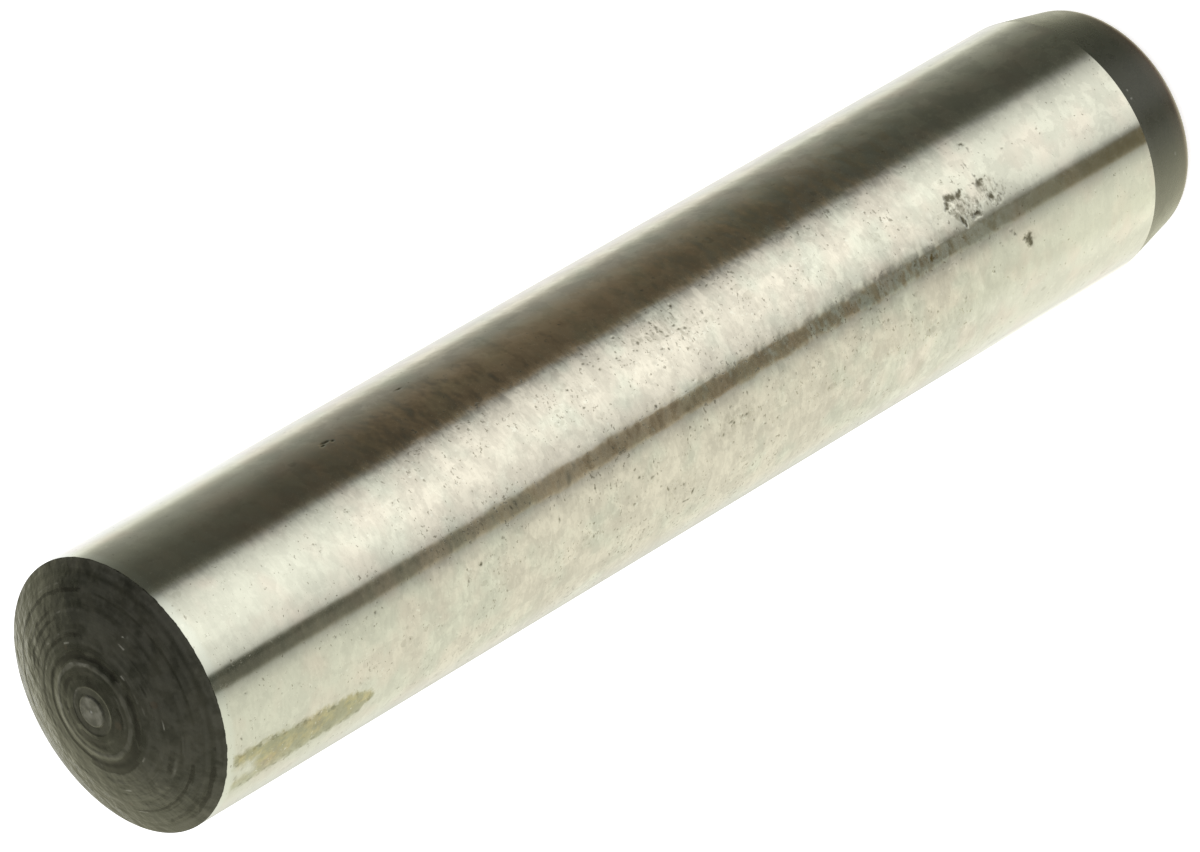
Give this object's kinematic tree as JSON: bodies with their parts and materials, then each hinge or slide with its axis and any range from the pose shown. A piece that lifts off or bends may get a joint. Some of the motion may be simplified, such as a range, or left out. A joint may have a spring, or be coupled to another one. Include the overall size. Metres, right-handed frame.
{
  "type": "dowel pin",
  "caption": "Ground steel dowel pin: a plain cylinder with a tapered lead-in and flat face at one end and a domed, scaled face at the other, pressed into reamed holes to locate parts.",
  "frame": {"origin": "centre of the flat end face, on which the pin stands", "axes": "+Z along the pin's axis, from the flat end to the crown of the dome; X and Y are free, since the pin is round"},
  "size_m": [0.01, 0.01, 0.0513],
  "materials": {
    "hardened_steel": "fine ground shank with light oil stains and small pits; both ends keep their dark heat-treatment scale over turning marks"
  },
  "bodies": {
    "root": {"dowel_pin": "hardened_steel"}
  },
  "joints": []
}
